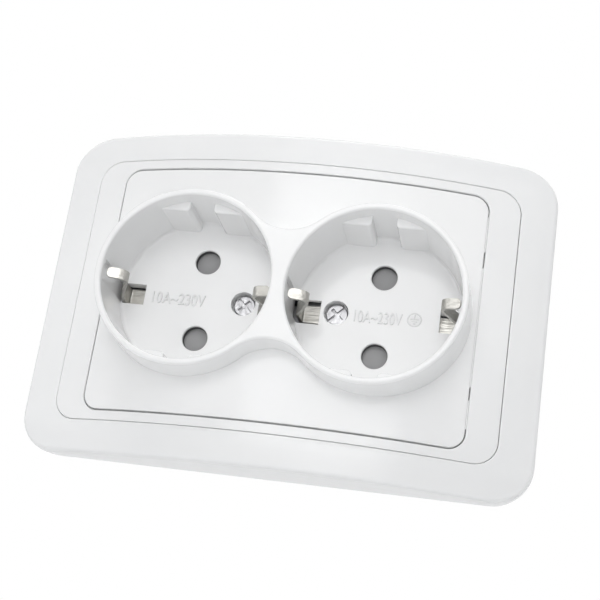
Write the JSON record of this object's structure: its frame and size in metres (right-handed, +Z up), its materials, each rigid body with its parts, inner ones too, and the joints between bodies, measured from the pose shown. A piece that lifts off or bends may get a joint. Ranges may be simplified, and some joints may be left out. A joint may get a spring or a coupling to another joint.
{
  "type": "double wall socket",
  "caption": "Flush-mounted double wall socket with round plug recesses in one collar, side earth clips, sprung shutters, an arched surround and spreading claws for a wall box.",
  "frame": {"origin": "centre of the mounting face, on the wall plane midway between the plug recesses", "axes": "+X right along the wall, +Z up, the front faces -Y and the wall box lies towards +Y"},
  "size_m": [0.118, 0.042, 0.0794],
  "materials": {
    "surround_plastic": "satin gloss, moulded",
    "trim_plastic": "satin gloss, moulded",
    "cover_plastic": "satin gloss, moulded",
    "shutter_plastic": "matt, moulded",
    "base_plastic": "matt, moulded",
    "rear_plastic": "matt, moulded",
    "clip_metal": "nickel-plated strip",
    "contact_brass": "stamped strip",
    "screw_steel": "zinc-plated",
    "plate_steel": "zinc-plated sheet",
    "spring_steel": "spring steel strip"
  },
  "bodies": {
    "socket": {"outer_frame": "surround_plastic", "trim_ring": "trim_plastic", "socket_cover": "cover_plastic", "cover_screws": "screw_steel", "earth_strap_left": "clip_metal", "earth_strap_right": "clip_metal", "earth_bridge": "plate_steel", "shutter_spring_left": "spring_steel", "shutter_spring_right": "spring_steel", "base_block": "base_plastic", "rear_cover": "rear_plastic", "rear_screws": "screw_steel", "line_contact_strip": "contact_brass", "neutral_contact_strip": "contact_brass", "terminal_saddles": "contact_brass", "terminal_screws": "screw_steel", "mounting_plate": "plate_steel", "base_rivets": "screw_steel"},
    "shutter_left": {"shutter_left": "shutter_plastic"},
    "shutter_right": {"shutter_right": "shutter_plastic"},
    "claw_top": {"claw_top": "plate_steel"},
    "claw_bottom": {"claw_bottom": "plate_steel"},
    "claw_screw_top": {"claw_screw_top": "screw_steel"},
    "claw_screw_bottom": {"claw_screw_bottom": "screw_steel"}
  },
  "joints": [
    {"name": "shutter_left_slide", "type": "slide", "parent": "socket", "child": "shutter_left", "axis": [0.8137, 0.5812, 0], "range_m": [0, 0.0086], "stiffness_N_per_m": 150, "springref_m": -0.004, "deforming": ["shutter_spring_left"]},
    {"name": "shutter_right_slide", "type": "slide", "parent": "socket", "child": "shutter_right", "axis": [-0.8137, 0.5812, 0], "range_m": [0, 0.0086], "stiffness_N_per_m": 150, "springref_m": -0.004, "deforming": ["shutter_spring_right"]},
    {"name": "claw_screw_top_turn", "type": "hinge", "parent": "socket", "child": "claw_screw_top", "pos_m": [0, 0, 0.022], "axis": [0, 1, 0], "range_deg": [0, 824]},
    {"name": "claw_top_swing", "type": "hinge", "parent": "socket", "child": "claw_top", "pos_m": [0, 0.0035, 0.018], "axis": [1, 0, 0], "range_deg": [0, 22]},
    {"name": "claw_screw_bottom_turn", "type": "hinge", "parent": "socket", "child": "claw_screw_bottom", "pos_m": [0, 0, -0.022], "axis": [0, 1, 0], "range_deg": [0, 824]},
    {"name": "claw_bottom_swing", "type": "hinge", "parent": "socket", "child": "claw_bottom", "pos_m": [0, 0.0035, -0.018], "axis": [-1, 0, 0], "range_deg": [0, 22]}
  ],
  "couplings": [
    {"joint": "claw_top_swing", "follows": "claw_screw_top_turn", "ratio": 0.026699},
    {"joint": "claw_bottom_swing", "follows": "claw_screw_bottom_turn", "ratio": 0.026699}
  ]
}
